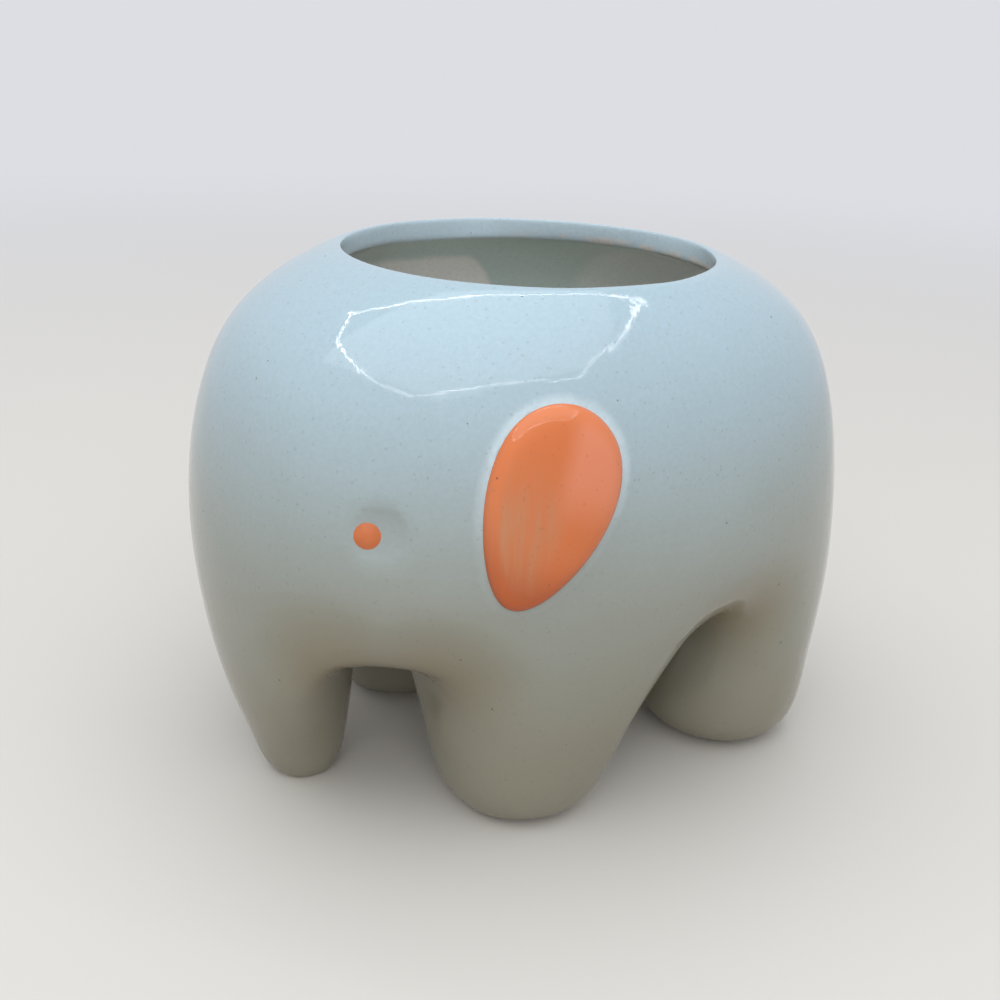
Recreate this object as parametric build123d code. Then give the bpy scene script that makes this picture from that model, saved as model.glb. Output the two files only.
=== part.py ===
from build123d import *
from math import acos, asin, cos, degrees, pi, radians, sin
import os

# Elephant planter: a slip-cast shell with four legs and a trunk that reaches the ground, raised
# ears, a drop of glaze for each eye, and a drainage hole with a soft plug. Millimetres, +Z up.
# The origin is on the ground under the middle. The trunk points to -X, the left side to -Y.

# Body, as the half sizes of the net that the skin is drawn on. The skin runs a little inside it.
body_half_length = 78.0
body_half_width = 61.4
body_shift = -2.2
body_widest_height = 67.3
belly_ring_half_length = 78.3
belly_ring_half_width = 58.1
belly_ring_shift = 0.6
belly_height = 37.3
belly_flat_half_width = 12.0
wall = 4.5
# Moves the middle of the skin, which isn't quite the net's, over the origin
net_shift = -0.11

# Mouth on top, cut straight down through the wall, with its edge just rounded off
mouth_half_length = 41.6
mouth_half_width = 41.2
mouth_shift = -1.5
mouth_height = 113.9
lip_rounding = 1.2

# Arches between the legs, at the outside of the body
trunk_arch_height = 37.9
side_arch_height = 41.6
rear_arch_height = 30.0

# Front legs. Set back counts from the front end of the body, set in from its tail end
front_leg_set_back = 64.0
front_leg_y = 30.4
front_foot_radius = 19.1
front_thigh_forward = 22.0
front_thigh_back = 31.9
front_leg_inner_half_length = 24.9
front_leg_inner_y = 3.6

# Hind legs
hind_leg_set_in = 32.2
hind_leg_y = 23.4
hind_foot_radius = 20.0
hind_thigh_forward = 14.9
hind_thigh_inner_y = 18.3
hind_leg_inner_forward = 17.6

# Trunk
trunk_set_back = 25.4
trunk_half_length = 10.0
trunk_half_width = 10.4
trunk_root_half_width = 35.1
trunk_root_set_back = 37.4
trunk_root_back_half_width = 9.7

# Heights of the rings down each leg, and what is ground off the feet to make them flat
knee_height = 20.0
ankle_height = 8.0
sole_grind = 1.5

# Ear, on the side of the head, raised above the body's widest height
ear_set_back = 53.1
ear_rise = 9.2
ear_half_height = 20.4
ear_half_width = 12.2
ear_lean = 19.5
ear_relief = 2.2
ear_root = 2.6

# Eye, a drop of glaze in a dimple whose middle lies a little behind it and above it
eye_set_back = 23.0
eye_rise = 3.8
eye_radius = 2.6
eye_bulge = 0.6
dimple_radius = 6.5
dimple_depth = 1.4
dimple_behind_eye = 1.8
dimple_above_eye = 0.6

# Drainage hole in the belly, with a flat seat round it
hole_x = 14.5
hole_radius = 4.6
seat_radius = 8.2
seat_depth = 1.2
cut_overrun = 5.0

# Plug, pushed up into the hole from below
plug_clearance = 0.08
plug_flange_clearance = 0.4
plug_flange_thickness = 2.0
plug_flange_chamfer = 0.6
plug_stem_length = 8.0
plug_lead = 1.2
plug_grip_radius = 2.6
plug_grip_length = 6.5
plug_grip_chamfer = 0.9

# Squareness of the rings, from 2 for an ellipse upwards
body_squareness = 2.45
mouth_squareness = 2.15

# Rings of the dome: how far each has risen and still spreads, between the widest ring and the
# mouth, then how much of the wall its inside moves in and drops by, then how much of the lip's
# rounding it moves out and drops by
widest_ring_shares = (0.0, 1.0, 1.0, 0.0, 0.0, 0.0)
upper_ring_shares = (0.72, 0.772, 0.8, 0.6, 0.0, 0.0)
shoulder_ring_shares = (0.985, 0.114, 0.3, 0.95, 0.0, 0.0)
brink_ring_shares = (1.0, 0.0, 0.0, 0.0, 1.0, 0.25)
mouth_ring_shares = (1.0, 0.0, 0.0, 1.15, 0.0, 0.0)
throat_ring_shares = (1.0, 0.0, 0.0, 0.0, 0.0, 1.0)

# How much of the thigh's spread is left in each ring down a leg: knee, ankle, sole
leg_spread_shares = (0.39, 0.03, 0.0)
trunk_spread_shares = (0.55, 0.03, 0.0)
sole_share = 0.78

# Egg shape of the ear, and its raised middle
ear_taper_share = 0.35
ear_top_share = 0.62
ear_crown_share = 0.25

# Places along the body and up its side, worked out from its ends and its widest height
front_end = body_shift - body_half_length
tail_end = body_shift + body_half_length
front_leg_x = front_end + front_leg_set_back
hind_leg_x = tail_end - hind_leg_set_in
trunk_x = front_end + trunk_set_back
trunk_root_back_x = front_end + trunk_root_set_back
ear_x = front_end + ear_set_back
ear_z = body_widest_height + ear_rise
eye_x = front_end + eye_set_back
eye_z = body_widest_height + eye_rise

# Angles of the net's points round each leg and the trunk, seen from above, in degrees from +X
FRONT_LEG_TURNS = (215, 270, 325, 35, 90, 145)
HIND_LEG_TURNS = (245, 335, 65, 155)
TRUNK_TURNS = (180, 240, 300, 0)

# Points of the body's net that each leg and the trunk grow from, in the same order
FRONT_LEG_ROOTS = ("belly2", "belly3", "belly4", "inner4", "inner3", "inner2")
HIND_LEG_ROOTS = ("belly5", "belly6", "belly7", "inner5")
TRUNK_ROOTS = ("belly0", "belly1", "trunk_back1", "trunk_back0")

# Rings of the body's net, upwards. Outside, the last three turn over the edge of the mouth
OUTSIDE_RINGS = ("belly", "widest", "upper", "shoulder", "brink", "mouth", "throat")
INSIDE_RINGS = ("belly", "widest", "upper", "shoulder", "mouth")

# The net's columns run from 0 at the nose, down the left side, to this one at the tail
TAIL = 8


def signed_power(value, power):
    return abs(value) ** power if value >= 0 else -(abs(value) ** power)


def between(low, high, share):
    return low + (high - low) * share


def ring_reach_share(count):
    """Share of its control points' distance that a smooth ring drawn on so many of them reaches."""
    return (2 + cos(2 * pi / count)) / 3


def column_turns(inset):
    """Angle of each column of the net round the body, set by where the legs and trunk begin."""
    half_power = body_squareness / 2
    half_length = belly_ring_half_length - inset
    half_width = belly_ring_half_width - inset

    def turn_at_x(x):
        return degrees(acos(signed_power((x - belly_ring_shift) / half_length, half_power)))

    def turn_at_y(y):
        return degrees(asin((y / half_width) ** half_power))

    trunk_side = 180 - turn_at_y(trunk_root_half_width - inset)
    front_fore = turn_at_x(front_leg_x - front_thigh_forward + inset)
    front_back = turn_at_x(front_leg_x + front_thigh_back - inset)
    hind_fore = turn_at_x(hind_leg_x - hind_thigh_forward + inset)
    hind_back = turn_at_y(hind_thigh_inner_y + inset)
    shoulder_blade = (front_fore + front_back) / 2
    haunch = (hind_fore + hind_back) / 2
    return (180, trunk_side, front_fore, shoulder_blade, front_back, hind_fore, haunch, hind_back, 0)


def body_ring(label, half_length, half_width, shift, heights, squareness, inset):
    """Half a ring round the body, from the nose down the left side to the tail."""
    ring = {}
    for column, turn in enumerate(column_turns(inset)):
        x = shift + half_length * signed_power(cos(radians(turn)), 2 / squareness)
        y = -half_width * abs(sin(radians(turn))) ** (2 / squareness)
        ring[f"{label}{column}"] = Vector(x, 0 if column in (0, TAIL) else y, heights[column])
    return ring


def belly_ring(inset):
    """Ring at the height of the arches, where the body gives way to the legs."""
    front_middle = (trunk_arch_height + side_arch_height) / 2
    hind_middle = (side_arch_height + rear_arch_height) / 2
    heights = [trunk_arch_height] * 3 + [front_middle] + [side_arch_height] * 2
    heights += [hind_middle] + [rear_arch_height] * 2
    return body_ring(
        "belly",
        belly_ring_half_length - inset,
        belly_ring_half_width - inset,
        belly_ring_shift,
        [height + inset for height in heights],
        body_squareness,
        inset,
    )


def dome_rings(inset):
    """Rings from the body's widest part up to the mouth and just over its edge."""
    rings = {}
    shoulder_squareness = (body_squareness + mouth_squareness) / 2
    dome = (
        ("widest", widest_ring_shares, body_squareness),
        ("upper", upper_ring_shares, body_squareness),
        ("shoulder", shoulder_ring_shares, shoulder_squareness),
        ("brink", brink_ring_shares, mouth_squareness),
        ("mouth", mouth_ring_shares, mouth_squareness),
        ("throat", throat_ring_shares, mouth_squareness),
    )
    for label, shares, squareness in dome:
        rise, spread, inward, downward, rounded_out, rounded_down = shares
        outward = rounded_out * lip_rounding - inward * inset
        drop = rounded_down * lip_rounding + downward * inset
        height = between(body_widest_height, mouth_height, rise) - drop
        ring = body_ring(
            label,
            between(mouth_half_length, body_half_length, spread) + outward,
            between(mouth_half_width, body_half_width, spread) + outward,
            between(mouth_shift, body_shift, spread),
            [height] * (TAIL + 1),
            squareness,
            inset,
        )
        rings.update(ring)
    return rings


def underside(inset):
    """Points under the belly, on the inner side of the legs and along the centre line."""
    points = {}
    height = belly_height + inset
    front_fore = front_leg_x - front_leg_inner_half_length + inset
    front_back = front_leg_x + front_leg_inner_half_length - inset
    hind_fore = hind_leg_x - hind_leg_inner_forward + inset
    inner_places = (
        (2, front_fore, front_leg_inner_y),
        (3, front_leg_x, front_leg_inner_y),
        (4, front_back, belly_flat_half_width),
        (5, hind_fore, belly_flat_half_width),
    )
    for column, x, y in inner_places:
        points[f"inner{column}"] = Vector(x, -(y + inset), height)
        points[f"keel{column}"] = Vector(x, 0, height)
    arch = trunk_arch_height + inset
    trunk_back = trunk_root_back_x - inset
    points["trunk_back1"] = Vector(trunk_back, inset - trunk_root_back_half_width, arch)
    points["trunk_back0"] = Vector(trunk_back, 0, arch)
    return points


def leg_rings(label, roots, turns, net, centre, half_sizes, round_count, spreads, inset):
    """Rings down a leg: each point stays below the point of the thigh that it grows from."""
    reach_share = ring_reach_share(round_count)
    rings = {}
    levels = {
        "knee": (knee_height, spreads[0], 1),
        "ankle": (ankle_height, spreads[1], 1),
        "sole": (inset - sole_grind, spreads[2], sole_share),
    }
    for level, (height, spread, size) in levels.items():
        for place, (root, turn) in enumerate(zip(roots, turns)):
            reach_x = (half_sizes[0] - inset) * size / reach_share
            reach_y = (half_sizes[1] - inset) * size / reach_share
            x = between(centre.X + reach_x * cos(radians(turn)), net[root].X, spread)
            y = between(centre.Y + reach_y * sin(radians(turn)), net[root].Y, spread)
            rings[f"{label}_{level}{place}"] = Vector(x, 0 if net[root].Y == 0 else y, height)
    return rings


def left_net(inset):
    """Control points of the left half of the skin, moved inwards by inset."""
    net = {**belly_ring(inset), **dome_rings(inset), **underside(inset)}
    front = Vector(front_leg_x, -front_leg_y)
    hind = Vector(hind_leg_x, -hind_leg_y)
    trunk = Vector(trunk_x, 0)
    front_sizes = (front_foot_radius, front_foot_radius)
    hind_sizes = (hind_foot_radius, hind_foot_radius)
    trunk_sizes = (trunk_half_length, trunk_half_width)
    # The left half of the trunk has four of the six points that go right round it
    limbs = (
        ("front", FRONT_LEG_ROOTS, FRONT_LEG_TURNS, front, front_sizes, 6, leg_spread_shares),
        ("hind", HIND_LEG_ROOTS, HIND_LEG_TURNS, hind, hind_sizes, 4, leg_spread_shares),
        ("trunk", TRUNK_ROOTS, TRUNK_TURNS, trunk, trunk_sizes, 6, trunk_spread_shares),
    )
    for label, roots, turns, centre, half_sizes, round_count, spreads in limbs:
        net.update(leg_rings(label, roots, turns, net, centre, half_sizes, round_count, spreads, inset))
    return net


def tube_quads(label, roots, levels, closed):
    """Quads down a leg and over its sole, or down the left half of the trunk."""
    quads = []
    upper = list(roots)
    count = len(roots)
    for level in levels:
        lower = [f"{label}_{level}{place}" for place in range(count)]
        for place in range(count if closed else count - 1):
            after = (place + 1) % count
            quads.append((upper[after], upper[place], lower[place], lower[after]))
        upper = lower
    if count == 4:
        quads.append((upper[0], upper[3], upper[2], upper[1]))
    else:
        quads.append((upper[1], upper[0], upper[5], upper[4]))
        quads.append((upper[2], upper[1], upper[4], upper[3]))
    return quads


def left_quads(rings, leg_levels, trunk_levels):
    """Quads of the left half of the skin, each in the order that turns it outwards."""
    quads = []
    for low, high in zip(rings, rings[1:]):
        for column in range(TAIL):
            after = column + 1
            quads.append((f"{low}{column}", f"{low}{after}", f"{high}{after}", f"{high}{column}"))
    quads += [
        ("belly2", "belly1", "trunk_back1", "inner2"),
        ("inner2", "trunk_back1", "trunk_back0", "keel2"),
        ("inner3", "inner2", "keel2", "keel3"),
        ("inner4", "inner3", "keel3", "keel4"),
        ("belly5", "belly4", "inner4", "inner5"),
        ("inner5", "inner4", "keel4", "keel5"),
        ("belly7", "inner5", "keel5", "belly8"),
    ]
    quads += tube_quads("front", FRONT_LEG_ROOTS, leg_levels, True)
    quads += tube_quads("hind", HIND_LEG_ROOTS, leg_levels, True)
    quads += tube_quads("trunk", TRUNK_ROOTS, trunk_levels, False)
    return quads


def shell_net():
    """The whole net: outside, over the lip and down the inside, both halves."""
    points = {}
    quads = []
    layers = {"outside": left_net(0), "inside": left_net(wall)}
    # Inside, the wall ends at the lip, the legs are plain hollows down to the sole, and the narrow
    # trunk is cast solid
    makeup = {
        "outside": (OUTSIDE_RINGS, ("knee", "ankle", "sole"), ("knee", "ankle", "sole")),
        "inside": (INSIDE_RINGS, ("sole",), ()),
    }

    def place(layer, name, mirrored):
        point = layers[layer][name]
        if mirrored and point.Y != 0:
            key = (layer, name, "right")
            points[key] = Vector(point.X, -point.Y, point.Z)
        else:
            key = (layer, name, "left")
            points[key] = point
        return key

    for mirrored in (False, True):
        for layer, (rings, leg_levels, trunk_levels) in makeup.items():
            flipped = mirrored != (layer == "inside")
            for quad in left_quads(rings, leg_levels, trunk_levels):
                keys = [place(layer, name, mirrored) for name in quad]
                quads.append(keys[::-1] if flipped else keys)
        for column in range(TAIL):
            after = column + 1
            lip = (
                ("outside", f"throat{column}"),
                ("outside", f"throat{after}"),
                ("inside", f"mouth{after}"),
                ("inside", f"mouth{column}"),
            )
            keys = [place(layer, name, mirrored) for layer, name in lip]
            quads.append(keys[::-1] if mirrored else keys)
    return points, quads


def skin(points, quads):
    """Closed solid whose skin follows the net smoothly, with one bicubic face for each quad.

    Each corner of a quad gives the face one inner control point, weighted by how many quads meet
    there. The points along an edge are the mean of the two inner ones beside it, and a corner is
    the mean of those round it, so that neighbouring faces share their edges."""
    users = {}
    for index, quad in enumerate(quads):
        for name in quad:
            users.setdefault(name, []).append(index)
    inner = {}
    for index, quad in enumerate(quads):
        for place, name in enumerate(quad):
            after, across, before = (quad[(place + step) % 4] for step in (1, 2, 3))
            count = len(users[name])
            total = points[name] * count + (points[after] + points[before]) * 2 + points[across]
            inner[index, name] = total / (count + 5)

    def mean(name, indices):
        total = Vector(0, 0, 0)
        for index in indices:
            total += inner[index, name]
        return total / len(indices)

    def corner(name):
        return mean(name, users[name])

    def along(name, other):
        return mean(name, [index for index in users[name] if index in users[other]])

    faces = []
    for index, (a, b, c, d) in enumerate(quads):
        rows = [
            [corner(a), along(a, d), along(d, a), corner(d)],
            [along(a, b), inner[index, a], inner[index, d], along(d, c)],
            [along(b, a), inner[index, b], inner[index, c], along(c, d)],
            [corner(b), along(b, c), along(c, b), corner(c)],
        ]
        faces.append(Face.make_bezier_surface(rows))
    return Solid(Shell(faces))


def ground():
    """Block below the ground, larger than the body in plan."""
    block = Box(
        2 * (body_half_length + cut_overrun),
        2 * (body_half_width + cut_overrun),
        cut_overrun,
        align=(Align.CENTER, Align.CENTER, Align.MAX),
    )
    return Pos(body_shift, 0, 0) * block


def left_side_place(shell, x, z):
    """Plane on the outside of the left side at x and z, whose own Z points outwards."""
    line = Axis((x, 0, z), (0, -1, 0))
    point, normal = shell.shell().find_intersection_points(line)[-1]
    outward = normal if normal.Y < 0 else -normal
    return Plane(origin=point, x_dir=Vector(0, 0, 1).cross(outward), z_dir=outward)


def eye_and_dimple(shell):
    """The drop of glaze, and the ball that hollows the dimple on whose floor it lies."""
    eye = left_side_place(shell, eye_x, eye_z)
    dimple = left_side_place(shell, eye_x + dimple_behind_eye, eye_z + dimple_above_eye)
    ball_radius = (dimple_radius**2 + dimple_depth**2) / (2 * dimple_depth)
    ball_centre = dimple.origin + dimple.z_dir * (ball_radius - dimple_depth)
    ball = dimple * Pos(0, 0, ball_radius - dimple_depth) * Rot(90, 0, 0) * Sphere(ball_radius)
    to_centre = (ball_centre - eye.origin).normalized()
    floor = Plane(origin=ball_centre - to_centre * ball_radius, z_dir=to_centre)
    drop_radius = (eye_radius**2 + eye_bulge**2) / (2 * eye_bulge)
    floor_rise = ball_radius - (ball_radius**2 - eye_radius**2) ** 0.5
    drop_centre = floor_rise + eye_bulge - drop_radius
    drop = floor * Pos(0, 0, drop_centre) * Rot(90, 0, 0) * Sphere(drop_radius)
    return ball & drop, ball


def ear_slab(shell):
    """The left ear, an egg-shaped slab that follows the side of the head, before it is fitted."""
    count = 8
    reach_share = ring_reach_share(count)
    lean = radians(ear_lean)

    def ring_places(size_share):
        places = []
        for step in range(count):
            turn = 2 * pi * step / count
            taper = 1 + ear_taper_share * sin(turn)
            across = size_share * ear_half_width * cos(turn) * taper
            up = size_share * ear_half_height * sin(turn)
            x = ear_x + across * cos(lean) + up * sin(lean)
            z = ear_z - across * sin(lean) + up * cos(lean)
            places.append(left_side_place(shell, x, z))
        return places

    middle = left_side_place(shell, ear_x, ear_z)
    outline = ring_places(1 / reach_share)
    crown = ring_places(ear_top_share / reach_share)
    crown_relief = ear_relief * (1 + ear_crown_share)
    points = {
        "back": middle.origin - middle.z_dir * ear_root,
        "front": middle.origin + middle.z_dir * crown_relief,
    }
    quads = []
    for step, (edge, top) in enumerate(zip(outline, crown)):
        points["root", step] = edge.origin - edge.z_dir * ear_root
        points["edge", step] = edge.origin + edge.z_dir * ear_relief
        points["crown", step] = top.origin + top.z_dir * crown_relief
        points["bed", step] = top.origin - top.z_dir * ear_root
        after = (step + 1) % count
        quads.append((("bed", step), ("bed", after), ("root", after), ("root", step)))
        quads.append((("root", step), ("root", after), ("edge", after), ("edge", step)))
        quads.append((("edge", step), ("edge", after), ("crown", after), ("crown", step)))
    for step in range(0, count, 2):
        after, last = step + 1, (step + 2) % count
        quads.append((("crown", step), ("crown", after), ("crown", last), "front"))
        quads.append((("bed", last), ("bed", after), ("bed", step), "back"))
    return skin(points, quads)


def seat_height(shell):
    """Height of the flat seat, cut a little way up into the underside of the belly."""
    line = Axis((hole_x, 0, 0), (0, 0, 1))
    lowest, _ = shell.shell().find_intersection_points(line)[0]
    return lowest.Z + seat_depth


def drain_cut(height):
    """The hole through the belly and the seat round it, down to the ground."""
    hole = Cylinder(hole_radius, mouth_height, align=(Align.CENTER, Align.CENTER, Align.MIN))
    seat = Cylinder(seat_radius, height, align=(Align.CENTER, Align.CENTER, Align.MIN))
    return Pos(hole_x, 0, 0) * (hole + seat)


def drain_plug(height):
    """Soft plug, turned: a stem in the hole, a flange in the seat and a grip to pull it by."""
    stem_radius = hole_radius - plug_clearance
    flange_radius = seat_radius - plug_flange_clearance
    stem_top = height + plug_stem_length
    flange_bottom = height - plug_flange_thickness
    grip_bottom = flange_bottom - plug_grip_length
    outline = Polyline(
        (0, grip_bottom),
        (plug_grip_radius, grip_bottom),
        (plug_grip_radius, flange_bottom),
        (flange_radius, flange_bottom),
        (flange_radius, height),
        (stem_radius, height),
        (stem_radius, stem_top - plug_lead),
        (stem_radius - plug_lead, stem_top),
        (0, stem_top),
        close=True,
    )
    half = make_face(outline)
    for radius, level, cut in (
        (flange_radius, flange_bottom, plug_flange_chamfer),
        (plug_grip_radius, grip_bottom, plug_grip_chamfer),
    ):
        corner = half.vertices().sort_by_distance((radius, level, 0))[0]
        half = chamfer(corner, cut)
    return Pos(hole_x, 0, 0) * revolve(Plane.XZ * half, Axis.Z)


points, quads = shell_net()
cast = skin(points, quads) - ground()
left_eye, left_ball = eye_and_dimple(cast)
left_ear = ear_slab(cast) - cast
seat = seat_height(cast)
planter_body = cast - left_ball - left_ball.mirror(Plane.XZ) - drain_cut(seat)

pieces = {
    "planter_body": planter_body,
    "left_ear": left_ear,
    "right_ear": left_ear.mirror(Plane.XZ),
    "left_eye": left_eye,
    "right_eye": left_eye.mirror(Plane.XZ),
    "drain_plug": drain_plug(seat),
}

os.makedirs("parts", exist_ok=True)
for name, piece in pieces.items():
    export_step(Pos(net_shift, 0, 0) * piece, f"parts/{name}.step")
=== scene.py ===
import bpy
import math
from mathutils import Euler, Matrix, Vector
from mathutils.bvhtree import BVHTree


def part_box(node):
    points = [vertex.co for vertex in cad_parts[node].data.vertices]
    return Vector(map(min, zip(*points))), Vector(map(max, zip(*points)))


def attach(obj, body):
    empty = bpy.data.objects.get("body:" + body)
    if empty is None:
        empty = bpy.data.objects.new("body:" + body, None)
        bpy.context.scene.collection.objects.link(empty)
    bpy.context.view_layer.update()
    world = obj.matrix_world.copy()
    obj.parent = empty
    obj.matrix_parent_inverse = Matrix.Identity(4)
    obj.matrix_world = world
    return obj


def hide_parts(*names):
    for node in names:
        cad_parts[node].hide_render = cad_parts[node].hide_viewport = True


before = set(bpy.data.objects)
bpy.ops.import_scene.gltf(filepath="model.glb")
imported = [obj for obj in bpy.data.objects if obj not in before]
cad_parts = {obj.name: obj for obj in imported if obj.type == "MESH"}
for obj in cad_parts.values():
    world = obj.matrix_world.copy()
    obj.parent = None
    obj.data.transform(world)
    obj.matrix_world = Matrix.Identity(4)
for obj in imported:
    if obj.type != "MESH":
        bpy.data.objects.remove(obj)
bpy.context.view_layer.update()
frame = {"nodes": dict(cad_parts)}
nodes = frame["nodes"]
MM = 0.001

# Glazed ceramic elephant planter. The shell is a smooth copy of its CAD solid, so that its glaze
# shows no facets, and the ends of its arches are rubbed soft. The ears, the eyes and the plug are
# the CAD solids with finishes of their own. Lengths are in metres.


# Sizes and places

SMOOTH_UP_TO = math.radians(38)
SAME_POINT = 0.004 * MM

plug_low, plug_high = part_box("drain_plug")
hole_centre = ((plug_low + plug_high) / 2).xy
HOLE_REACH = 4.9 * MM
CREST_DEPTH = 0.2 * MM
CAVITY_MIDDLE = Vector((0.0, 0.0, 0.047))
# What a metre of distance takes off a face's levelness, where the cavity's floor is looked for
DISTANCE_COUNTS = 40

# Where the arches run out into the trunk and the legs, on the left side
ARCH_ENDS = (-0.0600, -0.0325, 0.0405), (-0.0430, -0.0440, 0.0400), (0.0265, -0.0490, 0.0420)
RUBBED_REACH = 17 * MM
SMALL_FACE = 0.6 * MM
SPONGE_STROKES, SPONGE_PRESS = 90, 0.5

# The ear is egg-shaped, so its middle lies a little in front of its box's
ear_low, ear_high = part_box("left_ear")
EAR_FORWARD = 1.2 * MM
ear_middle = ((ear_low + ear_high) / 2).x - EAR_FORWARD, 0, ((ear_low + ear_high) / 2).z
EAR_LEAN = math.radians(19.5)
EAR_HALF_HEIGHT, EAR_HALF_WIDTH = 20.4 * MM, 12.2 * MM
EAR_TAPER = 0.35
FAR_FROM_EAR = 20 * MM

# Where one look of the glaze gives way to the next: heights over the ground
LEGS_TO_SIDES, SIDES_TO_DOME = (14 * MM, 60 * MM), (50 * MM, 102 * MM)
HALO_GROWS = 62 * MM, 92 * MM
LINING_ENDS = 108.3 * MM, 109.2 * MM
PATCHES_START, PATCHES_END = (108.3 * MM, 109.0 * MM), (110.0 * MM, 111.2 * MM)
SOLE_ENDS = 0.35 * MM, 0.6 * MM
# The same, along the planter from its middle towards the tail
PATCHES_BEGIN_AT = 14 * MM, 24 * MM
BEIGE_EDGE_DROPS_AT = 8 * MM, 28 * MM
BEIGE_AGAIN_AT = 36 * MM, 41 * MM
# The lining turns beige below this height, which drops towards the tail and blurs a little either way
BEIGE_EDGE, BEIGE_EDGE_DROP, BEIGE_BLUR = 103.2 * MM, 18 * MM, 1.2 * MM
# Distances from an ear's edge and from an arch's end
HALO = 0.0, 0.5 * MM, 2.5 * MM
ARCH_WARMTH = 3 * MM, 23 * MM
# How far the edges between the looks wander
DRIFT, RAGGED = 16 * MM, 1.2 * MM

# Places on the ear, across it towards the tail and along it from its middle
PINK_ACROSS, PINK_ALONG = (-3 * MM, 2 * MM), (-4 * MM, 8 * MM)
TIP_ALONG = -21 * MM, -6 * MM
VEIL_ACROSS, VEIL_ALONG = (-2 * MM, 4 * MM), (-21 * MM, -7 * MM, 12 * MM)
BRIGHT_RIM_ALONG = -15 * MM, 0.0


# Colours, in pairs where a finish drifts from one to the other

# The dome's blue is partly a painted sky reflection; the darker, browner sides and legs are partly painted
# shade and warm floor reflection
DOME_BLUES = (0.385, 0.500, 0.560), (0.415, 0.525, 0.570)
SIDE_GREYS = (0.300, 0.320, 0.285), (0.330, 0.345, 0.305)
LEG_GREENS = (0.258, 0.245, 0.182), (0.296, 0.284, 0.216)
# Pale rim round the ears: partly thin glaze, partly painted highlight
EAR_HALO_HIGHLIGHT = (0.600, 0.720, 0.770)
LIP_BAND_PAINTED_REFLECTION = (0.560, 0.650, 0.690)
LINING_GREEN, LINING_BEIGE = (0.490, 0.560, 0.510), (0.760, 0.730, 0.675)
BARE_LIP = (0.660, 0.610, 0.570)
# Painted shade and warm floor reflection round the arch ends, partly thin glaze
ARCH_PAINTED_SHADE = (0.245, 0.205, 0.115)
GLAZE_CLOUD, GLAZE_GRAIN, GLAZE_SPECK = (0.250, 0.275, 0.250), (0.170, 0.165, 0.130), (0.085, 0.065, 0.045)
SOLE_CLAYS = (0.590, 0.500, 0.385), (0.690, 0.610, 0.490)

EAR_ORANGES = (0.625, 0.158, 0.042), (0.660, 0.172, 0.050)
EAR_PAINTED_REFLECTION, EAR_TIP, EAR_THIN = (0.740, 0.240, 0.125), (0.400, 0.075, 0.010), (0.480, 0.250, 0.130)
EAR_RIMS = (0.540, 0.110, 0.020), (0.700, 0.190, 0.060)
EAR_GRAIN, ORANGE_SPECK = (0.330, 0.130, 0.060), (0.120, 0.050, 0.030)
EYE_ORANGES = (0.520, 0.130, 0.035), (0.640, 0.180, 0.060)

RUBBER_BLACKS = (0.030, 0.030, 0.031), (0.060, 0.060, 0.058)
RUBBER_DUST = (0.170, 0.160, 0.145)

FLOOR_PALES = (0.640, 0.590, 0.530), (0.670, 0.620, 0.560)
FLOOR_IN_BOUNCES = (0.380, 0.280, 0.190)
BACKDROP = (0.72, 0.73, 0.77, 1)


# Finishes

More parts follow.
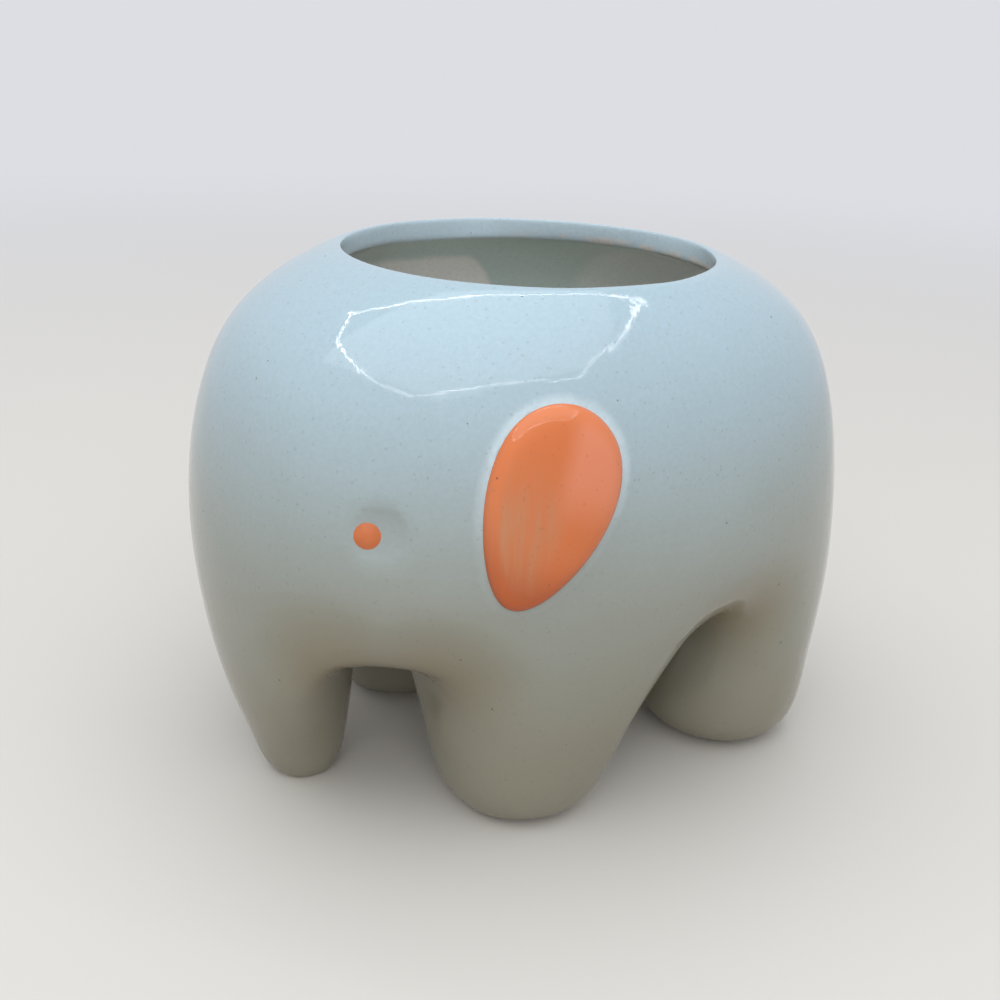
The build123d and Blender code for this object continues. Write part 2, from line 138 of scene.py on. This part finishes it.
class Finish:
    """A material built from nodes, with short calls for the few that the glazes and the rubber use."""

    def __init__(self, name):
        self.material = bpy.data.materials.new(name)
        self.material.use_nodes = True
        self.nodes = self.material.node_tree.nodes
        self.links = self.material.node_tree.links
        self.nodes.clear()
        self.output = self.nodes.new("ShaderNodeOutputMaterial")
        self.surface = self.nodes.new("ShaderNodeBsdfPrincipled")
        self.links.new(self.surface.outputs["BSDF"], self.output.inputs["Surface"])
        self.place = self.nodes.new("ShaderNodeTexCoord").outputs["Object"]

    def link(self, value, socket):
        if isinstance(value, bpy.types.NodeSocket):
            self.links.new(value, socket)
        else:
            socket.default_value = value

    def mapped(self, place, name, values):
        node = self.nodes.new("ShaderNodeMapping")
        node.vector_type = "POINT"
        node.inputs[name].default_value = values
        self.links.new(place, node.inputs["Vector"])
        return node.outputs["Vector"]

    def turned(self, turn=(0, 0, 0), stretch=(1, 1, 1), centre=(0, 0, 0)):
        """Object coordinates moved to a centre, turned and then stretched."""
        moved = self.mapped(self.place, "Location", [-v for v in centre])
        return self.mapped(self.mapped(moved, "Rotation", turn), "Scale", stretch)

    def noise(self, scale, detail=2.0, rough=0.5, place=None):
        node = self.nodes.new("ShaderNodeTexNoise")
        node.inputs["Scale"].default_value = scale
        node.inputs["Detail"].default_value = detail
        node.inputs["Roughness"].default_value = rough
        self.links.new(place or self.place, node.inputs["Vector"])
        return node.outputs["Fac"]

    def cells(self, scale):
        """Distance to the nearest point of a scatter, and a colour picked for that point."""
        node = self.nodes.new("ShaderNodeTexVoronoi")
        node.inputs["Scale"].default_value = scale
        self.links.new(self.place, node.inputs["Vector"])
        return node.outputs["Distance"], node.outputs["Color"]

    def sums(self, operation, first, second=0.0, third=0.0):
        node = self.nodes.new("ShaderNodeMath")
        node.operation = operation
        for value, socket in zip((first, second, third), node.inputs):
            self.link(value, socket)
        return node.outputs["Value"]

    def times(self, product, *shares):
        """A value multiplied by each of the shares."""
        for share in shares:
            product = self.sums("MULTIPLY", product, share)
        return product

    def step(self, value, low, high, start=0.0, end=1.0):
        """Rises smoothly from start to end while value goes from low to high."""
        node = self.nodes.new("ShaderNodeMapRange")
        node.interpolation_type = "SMOOTHSTEP"
        self.link(value, node.inputs["Value"])
        node.inputs["From Min"].default_value = low
        node.inputs["From Max"].default_value = high
        node.inputs["To Min"].default_value = start
        node.inputs["To Max"].default_value = end
        return node.outputs["Result"]

    def fall(self, value, low, high, start=1.0):
        """Falls smoothly from start to nothing while value goes from low to high."""
        return self.step(value, low, high, start, 0.0)

    def wandering(self, value, scale, width):
        """The value, moved by noise up to half the width either way."""
        return self.sums("ADD", value, self.sums("MULTIPLY_ADD", self.noise(scale), width, -width / 2))

    def band(self, value, low, middle, high):
        """One at the middle, falling to nothing at low and at high."""
        return self.times(self.step(value, low, middle), self.fall(value, middle, high))

    def mix(self, share, first, second):
        node = self.nodes.new("ShaderNodeMix")
        node.data_type = "RGBA"
        self.link(share, node.inputs["Factor"])
        for value, name in ((first, "A"), (second, "B")):
            socket = [s for s in node.inputs if s.name == name and s.type == "RGBA"][0]
            self.link(value if isinstance(value, bpy.types.NodeSocket) else (*value, 1.0), socket)
        return [s for s in node.outputs if s.type == "RGBA"][0]

    def axis(self, name, place=None):
        node = self.nodes.new("ShaderNodeSeparateXYZ")
        self.links.new(place or self.place, node.inputs["Vector"])
        return node.outputs[name]

    def measured(self, name):
        """A number that the piece keeps on each of its points."""
        node = self.nodes.new("ShaderNodeAttribute")
        node.attribute_name = name
        return node.outputs["Fac"]

    def bump(self, height, depth, after=None):
        node = self.nodes.new("ShaderNodeBump")
        node.inputs["Distance"].default_value = depth
        self.links.new(height, node.inputs["Height"])
        if after:
            self.links.new(after, node.inputs["Normal"])
        return node.outputs["Normal"]

    def finish(self, colour, roughness, normal=None):
        self.link(colour, self.surface.inputs["Base Color"])
        self.link(roughness, self.surface.inputs["Roughness"])
        if normal:
            self.links.new(normal, self.surface.inputs["Normal"])
        return self.material


def iron_specks(glaze, colour, speck, scale, size, share, depth):
    """Scattered dark specks: only a share of the scatter's points get one, and sizes differ."""
    distance, picked = glaze.cells(scale)
    chance = glaze.axis("X", picked)
    inside = glaze.sums("LESS_THAN", distance, glaze.times(glaze.axis("Y", picked), size))
    specks = glaze.times(inside, glaze.sums("LESS_THAN", chance, share), depth)
    return glaze.mix(specks, colour, speck)


def coat_with_painted_sky_and_shade(glaze, height):
    """Blue on the dome, greyer down the sides and browner on the legs: partly thinner glaze with clay
    showing through lower down, partly a painted sky reflection on the dome and painted shade and warm floor
    reflection lower down.
    """
    dome = glaze.mix(glaze.noise(14.0, 3.0), *DOME_BLUES)
    sides = glaze.mix(glaze.noise(17.0, 3.0), *SIDE_GREYS)
    legs = glaze.mix(glaze.noise(20.0, 3.0), *LEG_GREENS)
    drifted = glaze.wandering(height, 22.0, DRIFT)
    colour = glaze.mix(glaze.step(drifted, *LEGS_TO_SIDES), legs, sides)
    return glaze.mix(glaze.step(drifted, *SIDES_TO_DOME), colour, dome)


def ear_halos_with_painted_highlight(glaze, height, colour):
    """A pale bluish rim round each ear: partly glaze drawn thin at the edge, partly a painted highlight
    where the fillet catches the light, so it grows towards the top.
    """
    edge = glaze.band(glaze.measured("beside_ear"), *HALO)
    share = glaze.step(height, *HALO_GROWS, 0.12, 0.80)
    return glaze.mix(glaze.times(edge, share), colour, EAR_HALO_HIGHLIGHT)


def lip_and_lining(glaze, height, colour, inner):
    """Pale on the lip's inner band, a painted reflection, greener below it, and beige below an edge that
    drops towards the tail.
    """
    # Painted reflection: the lip's inner band is paler where it faces the light
    colour = glaze.mix(glaze.times(inner, 0.65), colour, LIP_BAND_PAINTED_REFLECTION)
    along = glaze.axis("X")
    level = glaze.wandering(height, 130.0, RAGGED)
    dropped = glaze.step(along, *BEIGE_EDGE_DROPS_AT)
    beige_edge = glaze.sums("MULTIPLY_ADD", dropped, -BEIGE_EDGE_DROP, BEIGE_EDGE)
    beige_share = glaze.fall(glaze.sums("SUBTRACT", level, beige_edge), -BEIGE_BLUR, BEIGE_BLUR)
    beige_share = glaze.sums("MAXIMUM", beige_share, glaze.step(along, *BEIGE_AGAIN_AT, 0.0, 0.45))
    lining = glaze.mix(beige_share, LINING_GREEN, LINING_BEIGE)
    colour = glaze.mix(glaze.times(inner, glaze.fall(level, *LINING_ENDS)), colour, lining)
    # Bare patches of clay on the cut edge, towards the tail
    patches = glaze.step(glaze.noise(95.0, 3.0, 0.6), 0.44, 0.54)
    on_edge = glaze.times(glaze.step(level, *PATCHES_START), glaze.fall(level, *PATCHES_END), inner)
    return glaze.mix(glaze.times(patches, on_edge, glaze.step(along, *PATCHES_BEGIN_AT)), colour, BARE_LIP)


def iron_in_clay(glaze, colour):
    """Iron in the clay shows through as a fine grain of specks and a few larger ones."""
    cloud = glaze.step(glaze.noise(1000.0, 3.0, 0.75), 0.30, 0.70, 0.0, 0.15)
    colour = glaze.mix(cloud, colour, GLAZE_CLOUD)
    colour = iron_specks(glaze, colour, GLAZE_GRAIN, scale=720.0, size=0.25, share=0.9, depth=0.17)
    return iron_specks(glaze, colour, GLAZE_SPECK, scale=190.0, size=0.060, share=0.8, depth=0.60)


def celadon_glaze():
    glaze = Finish("celadon_glaze")
    height = glaze.axis("Z")
    inner = glaze.measured("inside")
    colour = ear_halos_with_painted_highlight(glaze, height, coat_with_painted_sky_and_shade(glaze, height))
    colour = lip_and_lining(glaze, height, colour, inner)
    # Brown round the ends of the arches under the belly: partly thin glaze, partly painted shade and warm
    # floor reflection in the hollow of the blend
    outer = glaze.sums("SUBTRACT", 1.0, inner)
    warm = glaze.times(glaze.fall(glaze.measured("beside_arch"), *ARCH_WARMTH, 0.60), outer)
    colour = iron_in_clay(glaze, glaze.mix(warm, colour, ARCH_PAINTED_SHADE))
    # Bare clay on the ground faces of the feet
    ground = glaze.sums("ADD", height, glaze.times(glaze.noise(300.0), 0.3 * MM))
    sole = glaze.fall(ground, *SOLE_ENDS)
    colour = glaze.mix(sole, colour, glaze.mix(glaze.noise(900.0, 4.0, 0.7), *SOLE_CLAYS))
    sheen = glaze.step(glaze.noise(90.0, 3.0), 0.3, 0.7, 0.045, 0.085)
    roughness = glaze.sums("ADD", sheen, glaze.times(sole, 0.7))
    waves = glaze.bump(glaze.noise(34.0, 2.0, 0.4), 0.6 * MM)
    return glaze.finish(colour, roughness, glaze.bump(glaze.noise(520.0), 0.02 * MM, waves))


def brushed_orange(glaze, along, across, strokes):
    """Orange, with a pale pink painted reflection above and behind, browner at the tip, with clay between
    the strokes.
    """
    colour = glaze.mix(glaze.noise(45.0, 3.0), *EAR_ORANGES)
    # Painted reflection of the light overhead, pale pink on the ear's upper hind part
    behind = glaze.times(glaze.step(across, *PINK_ACROSS), glaze.step(along, *PINK_ALONG))
    colour = glaze.mix(glaze.times(behind, 0.85), colour, EAR_PAINTED_REFLECTION)
    colour = glaze.mix(glaze.fall(along, *TIP_ALONG, 0.9), colour, EAR_TIP)
    veil = glaze.times(glaze.fall(across, *VEIL_ACROSS), glaze.band(along, *VEIL_ALONG))
    return glaze.mix(glaze.times(veil, glaze.step(strokes, 0.35, 0.70, 0.25, 0.70)), colour, EAR_THIN)


def thick_rim(glaze, along, across, colour):
    """The glaze gathers thick and bright along the egg-shaped rim."""
    tall = glaze.times(along, 1 / EAR_HALF_HEIGHT)
    taper = glaze.sums("MULTIPLY_ADD", tall, EAR_TAPER, 1.0)
    wide = glaze.sums("DIVIDE", glaze.times(across, 1 / EAR_HALF_WIDTH), taper)
    reach = glaze.sums("SQRT", glaze.sums("MULTIPLY_ADD", wide, wide, glaze.times(tall, tall)))
    bright = glaze.mix(glaze.step(along, *BRIGHT_RIM_ALONG), *EAR_RIMS)
    return glaze.mix(glaze.step(reach, 0.78, 0.92, 0.0, 0.75), colour, bright)


def ear_glaze():
    glaze = Finish("ear_glaze")
    place = glaze.turned(turn=(0, -EAR_LEAN, 0), centre=ear_middle)
    along, across = glaze.axis("Z", place), glaze.axis("X", place)
    strokes = glaze.noise(1.0, 4.0, 0.6, glaze.turned(stretch=(520, 520, 36)))
    colour = thick_rim(glaze, along, across, brushed_orange(glaze, along, across, strokes))
    colour = iron_specks(glaze, colour, EAR_GRAIN, scale=700.0, size=0.25, share=0.9, depth=0.20)
    colour = iron_specks(glaze, colour, ORANGE_SPECK, scale=240.0, size=0.060, share=0.6, depth=0.55)
    roughness = glaze.step(glaze.noise(110.0, 3.0), 0.3, 0.7, 0.06, 0.12)
    brushed = glaze.bump(strokes, 0.04 * MM)
    return glaze.finish(colour, roughness, glaze.bump(glaze.noise(60.0), 0.3 * MM, brushed))


def eye_glaze():
    glaze = Finish("eye_glaze")
    colour = glaze.mix(glaze.noise(500.0, 3.0, 0.6), *EYE_ORANGES)
    colour = iron_specks(glaze, colour, ORANGE_SPECK, scale=700.0, size=0.08, share=0.4, depth=0.5)
    roughness = glaze.step(glaze.noise(300.0), 0.3, 0.7, 0.16, 0.26)
    return glaze.finish(colour, roughness, glaze.bump(glaze.noise(350.0), 0.1 * MM))


def soft_plug():
    rubber = Finish("soft_plug")
    colour = rubber.mix(rubber.noise(160.0, 4.0, 0.6), *RUBBER_BLACKS)
    dust = rubber.step(rubber.noise(900.0, 3.0, 0.7), 0.55, 0.8)
    colour = rubber.mix(rubber.times(dust, 0.35), colour, RUBBER_DUST)
    roughness = rubber.step(rubber.noise(240.0, 3.0), 0.3, 0.7, 0.48, 0.68)
    return rubber.finish(colour, roughness, rubber.bump(rubber.noise(1500.0, 3.0), 0.04 * MM))


# Pieces

def only(obj):
    bpy.ops.object.select_all(action="DESELECT")
    obj.select_set(True)
    bpy.context.view_layer.objects.active = obj


def dress(obj, material):
    obj.data.materials.clear()
    obj.data.materials.append(material)


def copied(node, name):
    """A piece of its own that starts as a copy of a CAD solid, with its faces joined up."""
    piece = nodes[node].copy()
    piece.data = nodes[node].data.copy()
    piece.name = piece.data.name = name
    for key in list(piece.keys()):
        del piece[key]
    piece.parent = None
    piece.matrix_world = Matrix.Identity(4)
    bpy.context.collection.objects.link(piece)
    only(piece)
    bpy.ops.mesh.customdata_custom_splitnormals_clear()
    bpy.ops.object.mode_set(mode="EDIT")
    bpy.ops.mesh.select_all(action="SELECT")
    bpy.ops.mesh.remove_doubles(threshold=SAME_POINT)
    bpy.ops.object.mode_set(mode="OBJECT")
    bpy.ops.object.shade_smooth_by_angle(angle=SMOOTH_UP_TO)
    return piece


def beside_arch(vertex):
    """Distance from the nearest end of an arch, on the left side or on the right."""
    place = Vector((vertex.co.x, -abs(vertex.co.y), vertex.co.z))
    return min((place - Vector(end)).length for end in ARCH_ENDS)


def merge_small_faces(piece):
    """Joins points that lie very close round the ends of the arches, so that they rub down evenly."""
    bpy.ops.object.mode_set(mode="EDIT")
    bpy.ops.mesh.select_mode(type="VERT")
    bpy.ops.mesh.select_all(action="DESELECT")
    bpy.ops.object.mode_set(mode="OBJECT")
    for vertex in piece.data.vertices:
        vertex.select = beside_arch(vertex) < RUBBED_REACH
    bpy.ops.object.mode_set(mode="EDIT")
    bpy.ops.mesh.remove_doubles(threshold=SMALL_FACE)
    bpy.ops.object.mode_set(mode="OBJECT")


def inside_points(mesh):
    """The points of the shell's inner faces: those that lie further in than the crest of the lip."""
    top = max(v.co.z for v in mesh.vertices)
    neighbours = {}
    stop = set()
    for face in mesh.polygons:
        for edge in face.edge_keys:
            neighbours.setdefault(edge, []).append(face.index)
        crest = face.center.z > top - CREST_DEPTH
        hole = (face.center.xy - hole_centre).length < HOLE_REACH
        if crest or hole:
            stop.add(face.index)
    # Starts from a level face near the middle of the cavity's floor
    start = max(
        (f for f in mesh.polygons if f.index not in stop),
        key=lambda f: f.normal.z - DISTANCE_COUNTS * (f.center - CAVITY_MIDDLE).length,
    )
    reached = set()
    todo = [start.index]
    while todo:
        index = todo.pop()
        if index in reached:
            continue
        reached.add(index)
        for edge in mesh.polygons[index].edge_keys:
            todo += [n for n in neighbours[edge] if n not in reached and n not in stop]
    return {point for index in reached for point in mesh.polygons[index].vertices}


def rub_down(piece, kept):
    """Softens the skin round the ends of the arches, as a wet sponge does before firing."""
    group = piece.vertex_groups.new(name="rubbed")
    for vertex in piece.data.vertices:
        share = 1 - beside_arch(vertex) / RUBBED_REACH
        if share > 0 and vertex.index not in kept:
            group.add([vertex.index], min(1, 2 * share), "REPLACE")
    only(piece)
    bpy.ops.object.modifier_add(type="SMOOTH")
    sponge = piece.modifiers[-1]
    sponge.iterations, sponge.factor = SPONGE_STROKES, SPONGE_PRESS
    sponge.vertex_group = group.name
    bpy.ops.object.modifier_apply(modifier=sponge.name)
    piece.vertex_groups.clear()
    bpy.ops.object.shade_smooth_by_angle(angle=SMOOTH_UP_TO)


def keep_number(obj, name, measure):
    """Measures each point of a piece and stores the number, for the piece's finish to read."""
    layer = obj.data.attributes.new(name, "FLOAT", "POINT")
    for slot, vertex in zip(layer.data, obj.data.vertices):
        slot.value = measure(vertex)


def surface_of(obj):
    mesh = obj.data
    return BVHTree.FromPolygons([v.co for v in mesh.vertices], [p.vertices for p in mesh.polygons])


ears = [surface_of(nodes[name]) for name in ("left_ear", "right_ear")]


def beside_ear(vertex):
    """Distance from the nearer ear, or the most that counts for a point further off."""
    return min(ear.find_nearest(vertex.co, FAR_FROM_EAR)[3] or FAR_FROM_EAR for ear in ears)


shell = copied("planter_body", "glazed_shell")
merge_small_faces(shell)
inner_points = inside_points(shell.data)
rub_down(shell, inner_points)
keep_number(shell, "inside", lambda vertex: 1.0 if vertex.index in inner_points else 0.0)
keep_number(shell, "beside_arch", beside_arch)
keep_number(shell, "beside_ear", beside_ear)
dress(shell, celadon_glaze())
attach(shell, "planter")
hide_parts("planter_body")

orange = ear_glaze()
for name in ("left_ear", "right_ear"):
    dress(nodes[name], orange)
drop = eye_glaze()
for name in ("left_eye", "right_eye"):
    dress(nodes[name], drop)
dress(nodes["drain_plug"], soft_plug())


# Floor, light and camera

def seen_directly(nodes, links):
    """One for what the camera sees, straight or mirrored, and nothing for light on its way round."""
    path = nodes.new("ShaderNodeLightPath")
    seen = path.outputs["Is Camera Ray"]
    for name in ("Is Glossy Ray", "Is Transmission Ray"):
        either = nodes.new("ShaderNodeMath")
        either.operation = "MAXIMUM"
        links.new(seen, either.inputs[0])
        links.new(path.outputs[name], either.inputs[1])
        seen = either.outputs["Value"]
    return seen


def pale_floor(radius=14.0, fade_from=0.15, fade_to=1.10):
    """A floor whose far part takes the backdrop's colour, so that no horizon shows."""
    bpy.ops.object.select_all(action="DESELECT")
    bpy.ops.mesh.primitive_circle_add(vertices=96, radius=radius, fill_type="NGON", location=(0, 0, 0))
    floor = bpy.context.object
    floor.name = "floor"
    only(floor)
    paint = Finish("pale_floor")
    seen = seen_directly(paint.nodes, paint.links)
    pale = paint.mix(paint.noise(3.0), *FLOOR_PALES)
    material = paint.finish(paint.mix(seen, FLOOR_IN_BOUNCES, pale), 0.6)
    across, along = paint.axis("X"), paint.axis("Y")
    away = paint.sums("MULTIPLY_ADD", along, along, paint.times(across, across))
    away = paint.step(paint.sums("SQRT", away), fade_from, fade_to)
    distance = paint.nodes.new("ShaderNodeEmission")
    distance.inputs["Color"].default_value = BACKDROP
    either = paint.nodes.new("ShaderNodeMixShader")
    paint.link(paint.times(away, seen), either.inputs["Fac"])
    paint.links.new(paint.surface.outputs["BSDF"], either.inputs[1])
    paint.links.new(distance.outputs["Emission"], either.inputs[2])
    paint.links.new(either.outputs["Shader"], paint.output.inputs["Surface"])
    dress(floor, material)


def softbox(name, place, aim, width, depth, power, colour=(1, 1, 1)):
    lamp = bpy.data.lights.new(name, "AREA")
    lamp.shape = "RECTANGLE"
    lamp.size, lamp.size_y = width, depth
    lamp.energy = power
    lamp.color = colour
    holder = bpy.data.objects.new(name, lamp)
    holder.location = place
    holder.rotation_mode = "QUATERNION"
    holder.rotation_quaternion = (Vector(aim) - Vector(place)).to_track_quat("-Z", "Y")
    bpy.context.collection.objects.link(holder)
    return holder


def ceiling_light(height=1.2, strip_width=0.014, watts_per_metre=0.7):
    """A wide dim panel overhead, with thin bright strips round it that show as lines in the glaze."""
    down = Vector((0, 0, -1))
    panel = Vector((-0.28, -0.30, height))
    softbox("ceiling_panel", panel, panel + down, width=1.7, depth=1.9, power=12.0, colour=(0.86, 0.94, 1.0))
    below_panel = height - 0.01
    corners = [Vector((x, y, below_panel)) for x, y in (
        (-1.27, -0.87), (-0.39, -1.14), (0.47, -1.57), (0.65, -0.68),
        (0.71, -0.21), (-0.38, 0.96), (-0.74, 0.69), (-1.21, -0.19),
    )]
    for number, (start, end) in enumerate(zip(corners, corners[1:] + corners[:1])):
        side, middle = end - start, (start + end) / 2
        power = watts_per_metre * side.length
        strip = softbox(f"strip_{number}", middle, middle + down, side.length, strip_width, power)
        strip.rotation_quaternion = Euler((0, 0, math.atan2(side.y, side.x))).to_quaternion()


def front_light():
    """Fills the shade without showing as a patch in the glaze."""
    place, aim = (-0.75, -1.35, 0.70), (0, 0, 0.06)
    lamp = softbox("front_softbox", place, aim, width=1.4, depth=0.8, power=9.0, colour=(0.93, 0.97, 1.0))
    lamp.visible_glossy = False


def camera():
    """Looks down on the left side from beside the head, as in the photograph."""
    pitch, yaw, roll = (math.radians(angle) for angle in (20.499, 60.454, -2.267))
    place = [length * MM for length in (-148.94, -252.61, 164.80)]
    forward = Vector((math.cos(pitch) * math.cos(yaw), math.cos(pitch) * math.sin(yaw), -math.sin(pitch)))
    level = Vector((math.sin(yaw), -math.cos(yaw), 0))
    down = forward.cross(level)
    right = level * math.cos(roll) + down * math.sin(roll)
    down = down * math.cos(roll) - level * math.sin(roll)
    lens = bpy.data.cameras.new("camera")
    lens.sensor_width = 36.0
    lens.lens = 48.6
    lens.clip_start, lens.clip_end = 0.01, 20.0
    holder = bpy.data.objects.new("camera", lens)
    rows = [(r, -d, -f, p) for r, d, f, p in zip(right, down, forward, place)]
    holder.matrix_world = Matrix((*rows, (0, 0, 0, 1)))
    bpy.context.collection.objects.link(holder)
    bpy.context.scene.camera = holder


def plain_sky():
    """An even light all round, with the backdrop's colour wherever the camera sees past the floor."""
    world = bpy.data.worlds.new("studio")
    world.use_nodes = True
    nodes, links = world.node_tree.nodes, world.node_tree.links
    light = nodes["Background"]
    light.inputs["Color"].default_value = (0.86, 0.92, 1.0, 1)
    light.inputs["Strength"].default_value = 0.66
    wall = nodes.new("ShaderNodeBackground")
    wall.inputs["Color"].default_value = BACKDROP
    either = nodes.new("ShaderNodeMixShader")
    links.new(seen_directly(nodes, links), either.inputs["Fac"])
    links.new(light.outputs["Background"], either.inputs[1])
    links.new(wall.outputs["Background"], either.inputs[2])
    links.new(either.outputs["Shader"], nodes["World Output"].inputs["Surface"])
    bpy.context.scene.world = world


pale_floor()
ceiling_light()
front_light()
camera()
plain_sky()
bpy.context.scene.view_settings.view_transform = "Standard"
